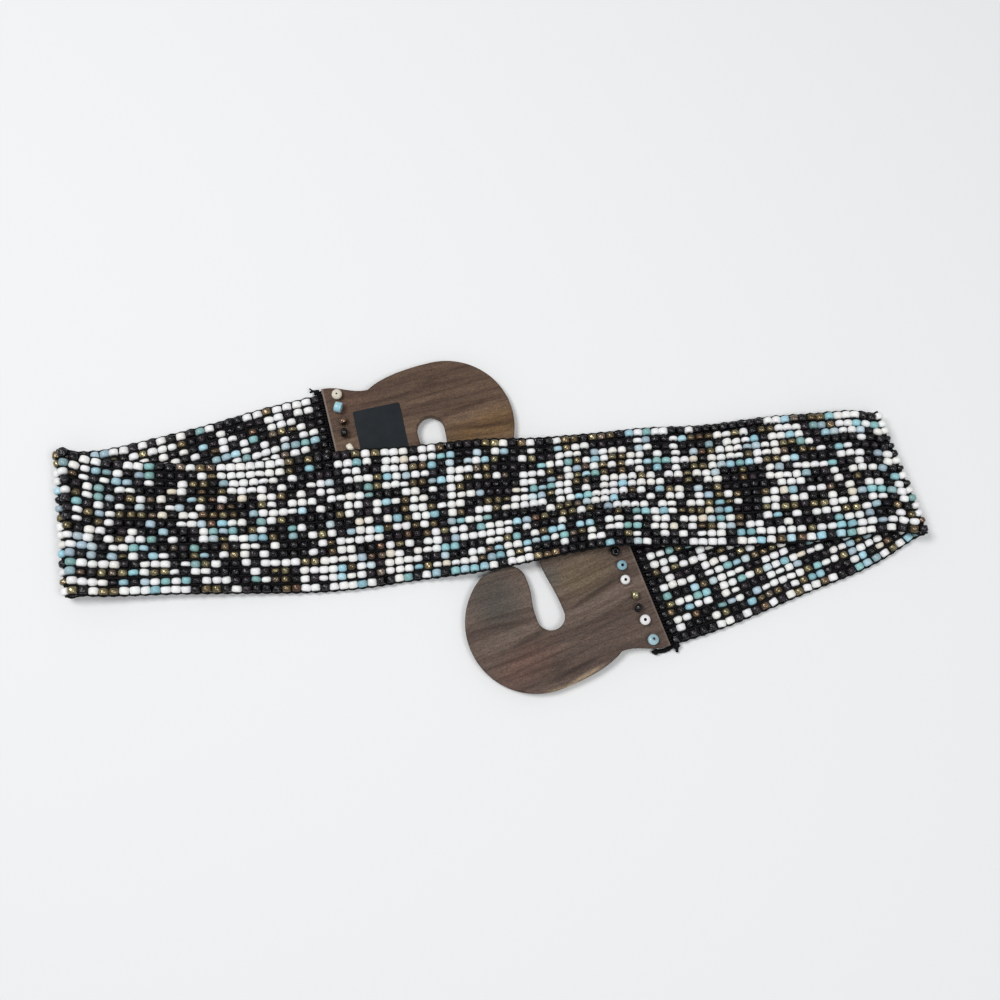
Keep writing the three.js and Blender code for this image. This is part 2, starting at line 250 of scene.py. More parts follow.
def front_section(row):
    return section(row, [share * rise[row[4]] for share in row[5]])


def leg(sections, lowest):
    """Sections close together between the given ones, with the middle surface no lower than told."""
    places = np.linspace(0, len(sections) - 1, (len(sections) - 1) * samples_per_row, endpoint=False)
    made = smooth_at(sections, places)
    made[:, 4:] = np.maximum(made[:, 4:], lowest)
    return made


def fold(row, inward, start, end):
    angles = np.linspace(start, end, samples_per_fold, endpoint=False)
    return np.array([fold_section(row, inward, angle) for angle in angles])


class Band:
    """The band's middle surface, reached by the distance along its middle line and the side, from -1 at
    the near edge to 1 at the far one."""

    def __init__(self):
        flat = band_thickness / 2
        low_left = fold_section(left_fold, 1, 0)
        high_left = fold_section(left_fold, 1, math.pi)
        high_right = fold_section(right_fold, -1, math.pi)
        low_right = fold_section(right_fold, -1, 0)
        legs = [
            leg([*map(tail_section, first_tail), low_left], flat),
            fold(left_fold, 1, 0, math.pi),
            leg([high_left, *map(front_section, front), high_right], flat + seat_gap / 2),
            fold(right_fold, -1, math.pi, 0),
            leg([low_right, *map(tail_section, second_tail)], flat),
            np.array([tail_section(second_tail[-1])]),
        ]
        self.sections = np.concatenate(legs)
        middle = self.sections[:, [0, 1, 6]]
        steps = np.linalg.norm(np.diff(middle, axis=0), axis=1)
        self.distance = np.concatenate([[0], np.cumsum(steps)])
        self.length = self.distance[-1]
        joints = np.cumsum([len(part) for part in legs])
        self.left_turn = self.distance[joints[0] + samples_per_fold // 2]
        self.right_turn = self.distance[joints[2] + samples_per_fold // 2]

    def section_at(self, distance):
        flat = np.ravel(distance)
        columns = [np.interp(flat, self.distance, column) for column in self.sections.T]
        return np.stack(columns, 1)

    def point(self, distance, side):
        """Points of the middle surface. The band runs straight on past its two ends."""
        distance, side = np.broadcast_arrays(np.asarray(distance, float), np.asarray(side, float))
        inside = np.clip(distance, 0, self.length)
        beyond = np.ravel(distance - inside)
        at = self.section_at(inside)
        out = np.ravel(side) * at[:, 3] / 2
        places = (1 - np.ravel(side)) * 2
        rows = np.arange(len(at))
        entry = np.clip(np.floor(places).astype(int), 0, 3)
        heights = np.concatenate([2 * at[:, 4:5] - at[:, 5:6], at[:, 4:], 2 * at[:, 8:] - at[:, 7:8]], 1)
        height = between(*(heights[rows, entry + i] for i in range(4)), places - entry)
        outward = np.where(beyond < 0, 1, -1) * np.abs(beyond)
        x = at[:, 0] - out * np.sin(at[:, 2]) + outward * np.cos(at[:, 2])
        y = at[:, 1] + out * np.cos(at[:, 2]) + outward * np.sin(at[:, 2])
        return np.stack([x, y, height], 1).reshape(*distance.shape, 3)

    def axes(self, distance, side):
        """Along the band, across it to the far edge, and out of its face, as unit vectors."""
        step = 0.6
        side_step = 0.04
        along = unit(self.point(distance + step, side) - self.point(distance - step, side))
        near = self.point(distance, np.maximum(side - side_step, -1))
        far = self.point(distance, np.minimum(side + side_step, 1))
        across = far - near
        across = unit(across - along * (across * along).sum(-1, keepdims=True))
        return along, across, np.cross(along, across)


def unit(vectors):
    return vectors / np.linalg.norm(vectors, axis=-1, keepdims=True)


# Where the plates lie in the drawing, and the drawing in the frame
def band_end(number):
    """The end section of the band that a plate is tied to."""
    return tail_section(first_tail[0] if number == 1 else second_tail[-1])


def plate_level(number):
    """From the axes of a plate laid flat to the drawing. The plate's straight end is along Y at x = 0,
    and its disc is towards +X."""
    end = band_end(number)
    facing = end[2] + (0 if number == 1 else math.pi)
    place = Vector((end[0] + end_gap * math.cos(facing), end[1] + end_gap * math.sin(facing), 0))
    return Matrix.Translation(place) @ Matrix.Rotation(facing, 4, "Z")


def plate_matrix(number):
    """The same for a plate as it lies, its straight end lifted over the ties."""
    lifted = Matrix.Translation((0, 0, plate_lift))
    return plate_level(number) @ lifted @ Matrix.Rotation(plate_tilt, 4, "Y")


def drawing_zero():
    """The drawing's zero in the frame, from the label's middle, whose place in both is known."""
    drawn = plate_matrix(1) @ Vector((*label_place, plate_thickness + seat_gap + label_thickness / 2))
    low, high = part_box("plate_label")
    return (low + high) / 2 / MM - drawn


zero = drawing_zero()


# Meshes
def finish_piece(piece, material, replaced=()):
    piece.data.materials.clear()
    piece.data.materials.append(material)
    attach(piece, "root")
    if replaced:
        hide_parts(*replaced)
    return piece


def new_object(name, mesh):
    piece = bpy.data.objects.new(name, mesh)
    bpy.context.scene.collection.objects.link(piece)
    return piece


def placed(points):
    """Points of the drawing as points of the frame, in metres."""
    return (np.asarray(points) + np.array(zero)) * MM


def quad_mesh(name, points, quads):
    mesh = bpy.data.meshes.new(name)
    mesh.vertices.add(len(points))
    mesh.vertices.foreach_set("co", placed(points).astype(np.float32).ravel())
    mesh.loops.add(quads.size)
    mesh.loops.foreach_set("vertex_index", quads.astype(np.int32).ravel())
    mesh.polygons.add(len(quads))
    mesh.polygons.foreach_set("loop_start", np.arange(0, quads.size, 4, dtype=np.int32))
    mesh.update(calc_edges=True)
    mesh.validate()
    mesh.shade_smooth()
    return mesh


def add_values(mesh, name, values):
    attribute = mesh.attributes.new(name, "FLOAT", "POINT")
    attribute.data.foreach_set("value", np.asarray(values, np.float32).ravel())


# Beads. One is a ring swept round its bore: eight rings outside, from end to end, and two in the bore.
ring_angles = np.radians([-82, -64, -45, -20, 20, 45, 64, 82])
bore_depth = 0.9
# The bore rings take nearly the whole painted shade of the drilled ends.
bore_shade = 0.98
bead_sides = 14
lowest_bead = 0.02

# How the beads vary. Patches hold more or less black, fills are shares of a row's room, and half
# lengths are shares of the pitch.
bead_seed = 47
patch_rows = 5
patch_run = 9
patch_contrast = 0.28
drift_run = 8
row_drift = 0.5
row_scatter = 0.1
side_drift = 0.14
side_scatter = 0.09
height_scatter = 0.09
thin_share = 0.2
thin_fill = (0.6, 0.76)
full_fill = (0.82, 0.95)
half_length = 0.487
length_spread = (0.91, 1.04)
height_spread = (0.92, 1.02)
highest_half = band_thickness / 2 - 0.06
bead_tip = 0.075
squareness_spread = (2.1, 3.2)
taper_scatter = 0.05
edge_rows = [0, -1]
edge_half_length = 0.49
edge_squareness = 1


def bead_points(centres, axes, halves, shape, bore_radius=bead_bore):
    """Points of many beads, by bead, ring and side. The axes run along the band, across it and out of
    its face. The halves are a bead's half sizes on them, and its shape is squareness and taper."""
    squareness, taper = shape.T[:, :, None]
    power = 2 / squareness
    reach = np.sign(ring_angles) * np.abs(np.sin(ring_angles)) ** power
    radius = (np.cos(ring_angles) / np.cos(ring_angles[3])) ** power
    bore = bore_radius / halves[:, :1]
    reach = np.concatenate([reach, reach[:, -1:] * bore_depth, reach[:, :1] * bore_depth], 1)
    radius = np.concatenate([np.maximum(radius, bore), bore, bore], 1)
    radius = radius * (1 + taper * reach)
    turn = np.arange(bead_sides) * 2 * math.pi / bead_sides
    along, across, out = (axis[:, None, None, :] for axis in axes)
    half_along, half_across, half_out = (half[:, None, None, None] for half in halves.T)
    ring = along * half_along * np.cos(turn)[:, None] + out * half_out * np.sin(turn)[:, None]
    return centres[:, None, None, :] + across * half_across * reach[:, :, None, None] \
        + ring * radius[:, :, None, None]


def swept_quads(count, rings, sides):
    """Faces of many rings-by-sides shapes that close on themselves both ways."""
    ring = np.arange(rings)[:, None]
    side = np.arange(sides)[None, :]
    next_ring, next_side = (ring + 1) % rings, (side + 1) % sides
    corners = [ring * sides + side, next_ring * sides + side,
               next_ring * sides + next_side, ring * sides + next_side]
    one = np.stack(np.broadcast_arrays(*corners), -1).reshape(-1, 4)
    starts = np.arange(count) * rings * sides
    return (one[None] + starts[:, None, None]).reshape(-1, 4)


def turned(axes, spin, rng):
    """The three axes of each bead, tipped a little."""
    along, across, out = axes
    lean = rng.normal(0, spin, (3, *along.shape[:-1], 1))
    across = unit(across + along * lean[0] + out * lean[1])
    out = unit(np.cross(along, across))
    return np.cross(across, out), across, out


def bead_colours(columns, rng):
    """A colour for each bead, row by row, drawn from the mix, with patches of more or less black, which
    is the first colour. The columns at the band's two ends are black."""
    again = np.array([mix["again"] for mix in bead_mix.values()])
    fresh = np.array([mix["share"] for mix in bead_mix.values()]) * (1 - again)
    colours = np.zeros((bead_rows, columns), int)
    patches = rng.normal(0, 1, (patch_rows, columns // patch_run + 2))
    rows = np.linspace(0, patch_rows - 1, bead_rows)
    for row in range(bead_rows):
        low = int(min(rows[row], patch_rows - 2))
        part = rows[row] - low
        for column in range(columns):
            before = colours[row, column - 1] if column else 0
            if column and rng.random() < again[before]:
                colours[row, column] = before
                continue
            cell = column / patch_run
            at = int(cell)
            edge = cell - at
            near = patches[low, at] * (1 - edge) + patches[low, at + 1] * edge
            far = patches[low + 1, at] * (1 - edge) + patches[low + 1, at + 1] * edge
            chance = fresh.copy()
            chance[0] *= math.exp(patch_contrast * (near * (1 - part) + far * part))
            colours[row, column] = rng.choice(len(again), p=chance / chance.sum())
    colours[:, [0, -1]] = 0
    return colours


def wander(rng, columns, size):
    """A slow random drift for each row."""
    knots = np.arange(0, columns + drift_run, drift_run)
    every = np.arange(columns)
    return np.stack([np.interp(every, knots, rng.normal(0, size, len(knots))) for _ in range(bead_rows)])


def column_places(band):
    """How far along the band each column of beads lies."""
    knots = [0, band.left_turn, (band.left_turn + band.right_turn) / 2, band.right_turn, band.length]
    fine = np.linspace(0, band.length, 4000)
    pitch = np.interp(fine, knots, bead_pitch)
    count = np.concatenate([[0], np.cumsum(np.diff(fine) / pitch[1:])])
    columns = int(count[-1])
    middles = (np.arange(columns) + 0.5) * count[-1] / columns
    places = np.interp(middles, count, fine)
    return places, np.interp(places, fine, pitch)


class Beads:
    """The woven beads: their colours, places, axes and sizes, each by row and column."""

    def __init__(self, band):
        rng = np.random.default_rng(bead_seed)
        places, pitch = column_places(band)
        columns = len(places)
        grid = (bead_rows, columns)
        self.colours = bead_colours(columns, rng)
        size = np.array([mix["size"] for mix in bead_mix.values()])[self.colours]

        # Rows drift a little along the band, so that the columns only roughly line up.
        distance = places[None] + wander(rng, columns, row_drift) + rng.normal(0, row_scatter, grid)
        self.distance = np.clip(distance, pitch[0] / 2, band.length - pitch[-1] / 2)
        width = band.section_at(places)[:, 3]
        row_room = (width[None] - 2 * edge_cord_room) / bead_rows
        row_middle = (np.arange(bead_rows)[:, None] + 0.5 - bead_rows / 2) * row_room
        stray = wander(rng, columns, side_drift) + rng.normal(0, side_scatter, grid)
        thin = rng.random(grid) < thin_share
        thin[edge_rows] = False
        filled = np.where(thin, rng.uniform(*thin_fill, grid), rng.uniform(*full_fill, grid))
        half_across = filled * row_room / 2

        # The beads of the two edge rows lie against the edge cords. They fill their places, so that no
        # floor shows between them.
        stray[0] = half_across[0] - row_room[0] / 2
        stray[-1] = row_room[0] / 2 - half_across[-1]
        side = (row_middle + stray) * 2 / width
        half_along = size * pitch * half_length * rng.uniform(*length_spread, grid)
        half_along[edge_rows] = np.maximum(half_along[edge_rows], edge_half_length * pitch)
        half_out = np.minimum(half_along * rng.uniform(*height_spread, grid), highest_half)
        self.halves = np.stack([half_along, half_across, half_out], -1)
        self.axes = turned(band.axes(self.distance, side), bead_tip, rng)
        lift = self.axes[2] * rng.normal(0, height_scatter, (*grid, 1))
        self.centres = band.point(self.distance, side) + lift
        squareness = rng.uniform(*squareness_spread, grid)
        squareness[edge_rows] += edge_squareness
        self.shape = np.stack([squareness, rng.normal(0, taper_scatter, grid)], -1)
        self.tone = rng.random(grid)
        self.hue = rng.random(grid)
        self.on_top = (self.distance > band.left_turn) & (self.distance < band.right_turn)


def bead_mesh(name, points, tone, hue):
    """One mesh of many beads. The glass reads each bead's tone and hue, and how near its drilled ends a
    point is, which sets the painted shade there."""
    count, rings = points.shape[:2]
    each = rings * bead_sides
    mesh = quad_mesh(name, points.reshape(-1, 3), swept_quads(count, rings, bead_sides))
    # Nearness to the drilled ends, for the painted shade where beads touch and in the bore.
    ends = np.abs([*np.sin(ring_angles), bore_shade, bore_shade])
    add_values(mesh, "bead_tone", np.repeat(tone, each))
    add_values(mesh, "bead_hue", np.repeat(hue, each))
    add_values(mesh, "bead_end_shade", np.tile(np.repeat(ends, bead_sides), count))
    return mesh


def woven_beads(beads, materials):
    replaced = ["bead_band"]
    for number, name in enumerate(bead_mix):
        for where, part in (("front", beads.on_top), ("tails", ~beads.on_top)):
            chosen = (beads.colours == number) & part
            axes = [axis[chosen] for axis in beads.axes]
            points = bead_points(beads.centres[chosen], axes, beads.halves[chosen], beads.shape[chosen])
            points[..., 2] = np.maximum(points[..., 2], lowest_bead)
            mesh = bead_mesh(f"beads_{name}_{where}", points, beads.tone[chosen], beads.hue[chosen])
            finish_piece(new_object(mesh.name, mesh), materials[name], replaced)
            replaced = []


# Cords
binding_radius = 0.42
binding_reach = 0.15
binding_half = (0.75, 1.55)
binding_pitch = 1.3
cord_swell = 0.08
edge_cord_sway = 0.15
edge_cord_weave = 0.3
warp_weave = 0.2
warp_sink = 0.3
cord_end_step = 4.4
cord_end_slope = 0.6
cord_end_drop = 0.9
knot_turns = 3
knot_length = 2.4
knot_cord_radius = 0.612

# Cord ends and knots at the corner of each plate that shows, in millimetres from that corner: towards
# the disc, out past the long edge and up. A cord end is its radius and the control points of its
# curve. A knot is its middle, its size and its axis.
cord_ends = [
    [
        (0.6, [(-1, -0.8, 1.4), (-1.8, 0.9, 2.4), (-3.6, 1.1, 2.6), (-5.4, 0.6, 2.8)]),
        (0.45, [(-2.6, -0.4, 2.2), (-4.2, 1.2, 2.8), (-5.2, 2.6, 2.4)]),
        (0.4, [(-1, -0.6, 1.6), (-0.6, 0.6, 1.8), (0.6, 0.4, 1.2)]),
    ],
    [
        (0.75, [(-3, 0.2, 2.2), (-0.4, 1.7, 1.4), (3.6, 0.7, 1.2), (8.4, -0.3, 1.1)]),
        (0.6, [(-2.6, -0.2, 1.6), (0.6, 1.9, 1), (3.4, 1.9, 0.9), (6, 0.6, 0.9)]),
        (0.8, [(-3.4, 0.2, 2), (-2.6, 1.8, 1.8), (-2, 3.6, 1.1)]),
    ],
]
cord_knots = [
    [((-2.4, 0.1, 2.2), 0.8, (1, 0.3, 0))],
    [((-2.8, 0.8, 2.1), 1.1, (1, 0.3, 0)), ((6.6, 0.3, 1.6), 0.8, (1, 0.2, 0))],
]


def tube(path, radius, sides, axes=None):
    """Points and faces of a tube with closed ends. Without axes, its rings turn with the path."""
    path = np.asarray(path, float)
    radius = np.broadcast_to(radius, len(path))
    if axes is None:
        axes = path_axes(path)
    turn = np.arange(sides) * 2 * math.pi / sides
    first, second = axes
    ring = first[:, None] * np.cos(turn)[:, None] + second[:, None] * np.sin(turn)[:, None]
    points = (path[:, None] + ring * radius[:, None, None]).reshape(-1, 3)
    faces = []
    for i in range(len(path) - 1):
        for k in range(sides):
            after = (k + 1) % sides
            faces.append((i * sides + k, i * sides + after, (i + 1) * sides + after, (i + 1) * sides + k))
    faces.append(tuple(reversed(range(sides))))
    faces.append(tuple(range((len(path) - 1) * sides, len(path) * sides)))
    return points, faces


def path_axes(path):
    """Two axes square to the path at each of its points, without a twist."""
    tangent = unit(np.gradient(path, axis=0))
    start = np.array([0, 0, 1.0]) if abs(tangent[0][2]) < 0.9 else np.array([1.0, 0, 0])
    first = []
    for direction in tangent:
        start = start - direction * (start @ direction)
        start = start / np.linalg.norm(start)
        first.append(start)
    first = np.array(first)
    return first, np.cross(tangent, first)


def cord_piece(name, tubes, elastic, replaced=()):
    """Several tubes as one piece of elastic cord."""
    points, faces, start = [], [], 0
    for tube_points, tube_faces in tubes:
        points.append(tube_points)
        faces += [tuple(corner + start for corner in face) for face in tube_faces]
        start += len(tube_points)
    mesh = bpy.data.meshes.new(name)
    mesh.from_pydata(placed(np.concatenate(points)).tolist(), [], faces)
    mesh.update()
    mend_normals(mesh)
    mesh.shade_smooth()
    return finish_piece(new_object(name, mesh), elastic, replaced)


def mend_normals(mesh):
    body = bmesh.new()
    body.from_mesh(mesh)
    bmesh.ops.recalc_face_normals(body, faces=body.faces)
    body.to_mesh(mesh)
    body.free()


def band_cord(band, places, row, edge):
    """One cord that runs the band's whole length, between two rows or along an edge."""
    steps = np.arange(-2, len(places) * 4 + 3) / 4
    counts = np.arange(len(places)) + 0.5
    distance = np.interp(steps, counts, places)
    first, last = places[0], places[-1]
    distance = np.where(steps < counts[0], first + (steps - counts[0]) * cord_end_step, distance)
    distance = np.where(steps > counts[-1], last + (steps - counts[-1]) * cord_end_step, distance)
    inside = np.clip(distance, 0, band.length)
    width = band.section_at(inside)[:, 3]
    bump = np.cos(2 * math.pi * (steps - 0.5))
    if edge:
        out = math.copysign(1, row) * (width / 2 - edge_cord_radius + edge_cord_sway * bump)
        weave = edge_cord_weave * np.sin(math.pi * steps)
        radius = edge_cord_radius + cord_swell * bump
    else:
        out = row * (width - 2 * edge_cord_room) / bead_rows
        weave = warp_weave * np.cos(math.pi * steps + math.pi * (row % 2)) - warp_sink
        radius = warp_radius + cord_swell * bump
    side = out * 2 / width
    _, across, normal = band.axes(inside, side)
    path = band.point(distance, side) + normal * weave[:, None]
    dropped = np.abs(distance - inside)
    path[:, 2] -= np.minimum(dropped * cord_end_slope, cord_end_drop)
    return tube(path, radius, 6, (across if edge else across * warp_flatness, normal))


def weft(beads, column):
    """The thread through one column of beads, which turns round the edge cord at each end."""
    centres = beads.centres[:, column]
    across = beads.axes[1][:, column]
    half = beads.halves[:, column, 1:2]
    path = np.stack([centres - across * half, centres + across * half], 1).reshape(-1, 3)
    first = path[0] - across[0] * edge_cord_radius
    last = path[-1] + across[-1] * edge_cord_radius
    return tube([first, *path, last], weft_radius, 5)


def filler(beads, column):
    """The thread that crosses the cords between one column of beads and the next."""
    path = (beads.centres[:, column] + beads.centres[:, column + 1]) / 2
    across, out = (beads.axes[axis][:, column] for axis in (1, 2))
    weave = filler_radius * np.cos(math.pi * (np.arange(bead_rows) + column))[:, None]
    path = path + out * (weave - filler_radius)
    reach = beads.halves[0, column, 1]
    return tube([path[0] - across[0] * reach, *path, path[-1] + across[-1] * reach], filler_radius, 5)


def end_binding(band, distance, outward):
    """The thread wound round one end of the band, from edge to edge."""
    turns = int(band_width / binding_pitch)
    angle = np.linspace(0, turns * 2 * math.pi, turns * 10)
    sides = np.linspace(-1, 1, len(angle))
    along, _, out = band.axes(np.full(len(angle), distance), sides)
    middle = band.point(distance + outward * binding_reach, sides)
    wound = along * np.cos(angle)[:, None] * binding_half[0] + out * np.sin(angle)[:, None] * binding_half[1]
    return tube(middle + wound, binding_radius, 6)


def woven_cords(band, beads, elastic):
    places, _ = column_places(band)
    half = bead_rows // 2
    wefts = [weft(beads, column) for column in range(len(places))]
    wefts += [filler(beads, column) for column in range(len(places) - 1)]
    pieces = {
        "warp_cords": [band_cord(band, places, row, False) for row in range(-half + 1, half)],
        "edge_cords": [band_cord(band, places, row, True) for row in (-half, half)],
        "weft_threads": wefts,
        "end_binding": [end_binding(band, 0, -1), end_binding(band, band.length, 1)],
    }
    for name, tubes in pieces.items():
        cord_piece(name, tubes, elastic)


def knot(place, size, axis):
    """A small knot: a thread wound on itself, about the given axis."""
    turn = np.linspace(0, knot_turns * 2 * math.pi, knot_turns * 9)
    first, second = path_axes(np.array([place, place + axis]))
    ring = first[0] * np.cos(turn)[:, None] + second[0] * np.sin(turn)[:, None]
    swell = np.sin(np.linspace(0.25, math.pi - 0.25, len(turn)))[:, None]
    shift = np.linspace(-0.5, 0.5, len(turn))[:, None] * axis
    return tube(place + ring * size * swell + shift * size * knot_length, knot_cord_radius, 7)


def loose_cords(number, elastic):
    """The knotted cord ends at the corner of a plate that shows."""
    level = plate_level(number)
    corner = np.array([0, plate_end_width / 2, 0])
    tubes = []
    for radius, points in cord_ends[number - 1]:
        path = bezier([corner + np.array(point) for point in points], 12)
        path = np.array([level @ Vector(point) for point in path])
        bumps = radius * (1 + 0.12 * np.sin(np.arange(len(path)) * 2.2))
        tubes.append(tube(path, bumps * np.linspace(1, 0.8, len(path)), 8))
    for place, size, axis in cord_knots[number - 1]:
        middle = np.array(level @ Vector(corner + np.array(place)))
        tubes.append(knot(middle, size, np.array(level.to_3x3() @ Vector(axis))))
    cord_piece(f"cord_ends_{number}", tubes, elastic)


# Hook plates
def bezier(corners, steps=16):
    """Points of a curve of three or four control points, without its first one."""
    t = np.linspace(0, 1, steps + 1)[1:, None]
    corners = np.asarray(corners, float)
    degree = len(corners) - 1
    shares = [math.comb(degree, i) * (1 - t) ** (degree - i) * t ** i for i in range(degree + 1)]
    return sum(share * corner for share, corner in zip(shares, corners))


def arc(centre, radius, start, end, steps=16):
    turn = np.linspace(start, end, steps + 1)[1:]
    return np.stack([centre[0] + radius * np.cos(turn), centre[1] + radius * np.sin(turn)], 1)


def plate_outline():
    half = plate_end_width / 2
    waist = half - waist_depth
    disc = plate_length - disc_radius
    slot = disc - slot_setback
    slot_near = slot - slot_radius
    slot_far = slot + slot_radius
    neck = -neck_depth
    free_side = slot + neck_width / 2
    body_side = slot - neck_width / 2
    near, far = waist_at * (1 - bend_run), waist_at * bend_run
    shoulder = waist_at + disc_radius * shoulder_run
    body_lobe = (body_side - body_lobe_radius, neck - slot_radius)
    lobe_low = (body_lobe[0], body_lobe[1] - body_lobe_radius)
    free_lobe = (free_side + free_lobe_radius, neck - free_lobe_radius * free_lobe_sag)
    blend_end = (disc + disc_radius * math.cos(free_lobe_blend), -disc_radius * math.sin(free_lobe_blend))
    lobe_edge = free_lobe[1] - free_lobe_radius
    blend_x = blend_end[0] - (blend_end[1] - lobe_edge) * math.tan(free_lobe_blend)
    bend = neck * bend_run
    quarter = math.pi / 2
    return np.concatenate([
        np.linspace((0, half), (0, -half), 25),
        bezier([(0, -half), (near, -half), (far, -waist), (waist_at, -waist)]),
        bezier([(waist_at, -waist), (waist_at + body_lobe_radius, -waist), lobe_low]),
        arc(body_lobe, body_lobe_radius, -quarter, 0),
        bezier([(body_side, body_lobe[1]), (body_side, neck), (slot_near, bend), (slot_near, 0)]),
        arc((slot, 0), slot_radius, math.pi, 0, 24),
        bezier([(slot_far, 0), (slot_far, bend), (free_side, bend), (free_side, neck)]),
        bezier([(free_side, neck), (free_side, (neck + free_lobe[1]) / 2), (free_side, free_lobe[1])], 3),
        arc(free_lobe, free_lobe_radius, math.pi, 1.5 * math.pi, 20),
        bezier([(free_lobe[0], lobe_edge), (blend_x, lobe_edge), blend_end]),
        arc((disc, 0), disc_radius, -free_lobe_blend, quarter, 72),
        bezier([(disc, disc_radius), (shoulder, disc_radius), (waist_at, waist)], 24),
        bezier([(waist_at, waist), (far, waist), (near, half), (0, half)])[:-1],
    ])


def hole_place(bead, k):
    down, inward = bead[4:]
    return hole_inset + inward * hole_pitch, plate_end_width / 2 - hole_margin - (k + down) * hole_pitch


def rounded_slab(name, loops, thickness, rim, steps):
    """A flat slab with round rims, from an outline and its holes, lying on z = 0, in metres."""
    curve = bpy.data.curves.new(name, "CURVE")
    curve.dimensions = "2D"
    curve.fill_mode = "BOTH"
    curve.extrude = (thickness / 2 - rim) * MM
    curve.bevel_depth = rim * MM
    curve.offset = -rim * MM
    curve.bevel_resolution = steps
    for loop in loops:
        line = curve.splines.new("POLY")
        line.points.add(len(loop) - 1)
        flat = np.zeros((len(loop), 4))
        flat[:, :2] = loop * MM
        flat[:, 3] = 1
        line.points.foreach_set("co", flat.ravel())
        line.use_cyclic_u = True
    shape = new_object(name, curve)
    depsgraph = bpy.context.evaluated_depsgraph_get()
    mesh = bpy.data.meshes.new_from_object(shape.evaluated_get(depsgraph))
    bpy.data.objects.remove(shape)
    body = bmesh.new()
    body.from_mesh(mesh)
    bmesh.ops.remove_doubles(body, verts=body.verts, dist=1e-6)
    bmesh.ops.translate(body, verts=body.verts, vec=(0, 0, thickness / 2 * MM))
    bmesh.ops.recalc_face_normals(body, faces=body.faces)
    for face in body.faces:
        face.smooth = abs(face.normal.z) < 0.999
    body.to_mesh(mesh)
    body.free()
    return mesh


def in_frame(matrix):
    """A matrix of the drawing, in millimetres, as one of the frame, in metres."""
    moved = Matrix.Translation(zero) @ matrix
    moved.translation *= MM
    return moved


def wooden_plates(materials):
    for number, row in enumerate(stoppers, 1):
        name = f"wooden_plate_{number}"
        holes = [arc(hole_place(bead, k), hole_radius, 0, 2 * math.pi) for k, bead in enumerate(row)]
        mesh = rounded_slab(name, [plate_outline(), *holes], plate_thickness, plate_rim, 5)
        mesh.transform(in_frame(plate_matrix(number)))
        piece = new_object(name, mesh)
        finish_piece(piece, materials[f"wood_{number}"], [f"hook_plate_{number}"])


def blank_label(materials):
    flat = label_side / 2 - label_corner
    quarter = math.pi / 2
    corners = [(flat, flat), (-flat, flat), (-flat, -flat), (flat, -flat)]
    outline = np.concatenate([
        arc(corner, label_corner, i * quarter, (i + 1) * quarter, 8) for i, corner in enumerate(corners)])
    mesh = rounded_slab("blank_label", [outline], label_thickness, label_rim, 2)
    place = Matrix.Translation((*label_place, plate_thickness + label_lift))
    mesh.transform(in_frame(plate_matrix(1) @ place @ Matrix.Rotation(label_turn, 4, "Z")))
    finish_piece(new_object("blank_label", mesh), materials["label"], ["plate_label"])


# Stopper beads and ties
def stopper_bead(number, k, bead, materials):
    colour, lies, turn, size = bead[:4]
    radius = stopper_radius * size
    length = stopper_length * size
    look = stopper_looks.get((number, k + 1), {})
    lean = [math.radians(angle) for angle in look.get("lean", (0, 0))]
    height = plate_thickness + seat_gap / 6 + (radius if lies else length / 2)
    place = Matrix.Translation((*hole_place(bead, k), height))
    matrix = plate_matrix(number) @ place @ Matrix.Rotation(math.radians(turn), 4, "Z")
    matrix = matrix @ Matrix.Rotation(lean[0], 4, "X") @ Matrix.Rotation(lean[1], 4, "Y")
    along = Vector((1, 0, 0))
    across = Vector((0, -1, 0)) if lies else Vector((0, 0, 1))
    axes = [np.array([matrix.to_3x3() @ axis]) for axis in (along, across, along.cross(across))]
    halves = np.array([[radius, length / 2, radius]])
    shape = np.array([[look.get("squareness", stopper_squareness), stopper_taper]])
    middle = np.array([matrix.translation])
    points = bead_points(middle, axes, halves, shape, look.get("bore", bead_bore))
    tone = look.get("tone", (k * 0.37 + number * 0.21) % 1)
    hue = look.get("hue", (k * 0.23 + number * 0.4) % 1)
    mesh = bead_mesh(f"stopper_{number}_{k + 1}", points, [tone], [hue])
    node = f"stopper_bead_{number}_{k + 1}"
    finish_piece(new_object(mesh.name, mesh), materials[colour], [node])


def tie(number, k, bead, elastic):
    hole = hole_place(bead, k)
    from_band = band_end(number)[3] * (0.5 - (k + 0.5) / hole_count)
    reach = -plate_rim if bead[1] else seat_gap + stopper_length * bead[3] * tie_reach
    top = plate_lift * (1 - hole[0] / plate_length) + plate_thickness + reach
    lean = top * plate_lift / plate_length
    start = Vector((seat_gap - end_gap, from_band, tie_height))
    corner = Vector((*hole, tie_height))
    last = Vector((hole[0] + lean, hole[1], top))
    before = corner.lerp(start, tie_turn / (corner - start).length)
    after = corner.lerp(last, tie_turn / (corner - last).length)
    path = [start.lerp(before, i / 6) for i in range(7)]
    path += [Vector(point) for point in bezier([before, corner, after], 8)]
    path += [after.lerp(last, i / 4) for i in range(1, 5)]
    level = plate_level(number)
    made = tube(np.array([level @ point for point in path]), tie_radius, 10)
    cord_piece(f"tie_{number}_{k + 1}", [made], elastic, [f"elastic_tie_{number}_{k + 1}"])


# Materials
def add(tree, kind, **settings):
    node = tree.nodes.new(kind)
    for name, value in settings.items():
        setattr(node, name, value)
    return node


def join(tree, source, socket):
    tree.links.new(source, socket)


def new_material(name, roughness, **sockets):
    material = bpy.data.materials.new(name)
    material.use_nodes = True
    tree = material.node_tree
    shader = tree.nodes["Principled BSDF"]
    shader.inputs["Roughness"].default_value = roughness
    for socket, value in sockets.items():
        shader.inputs[socket.replace("_", " ").title().replace("Ior", "IOR")].default_value = value
    return material, tree, shader


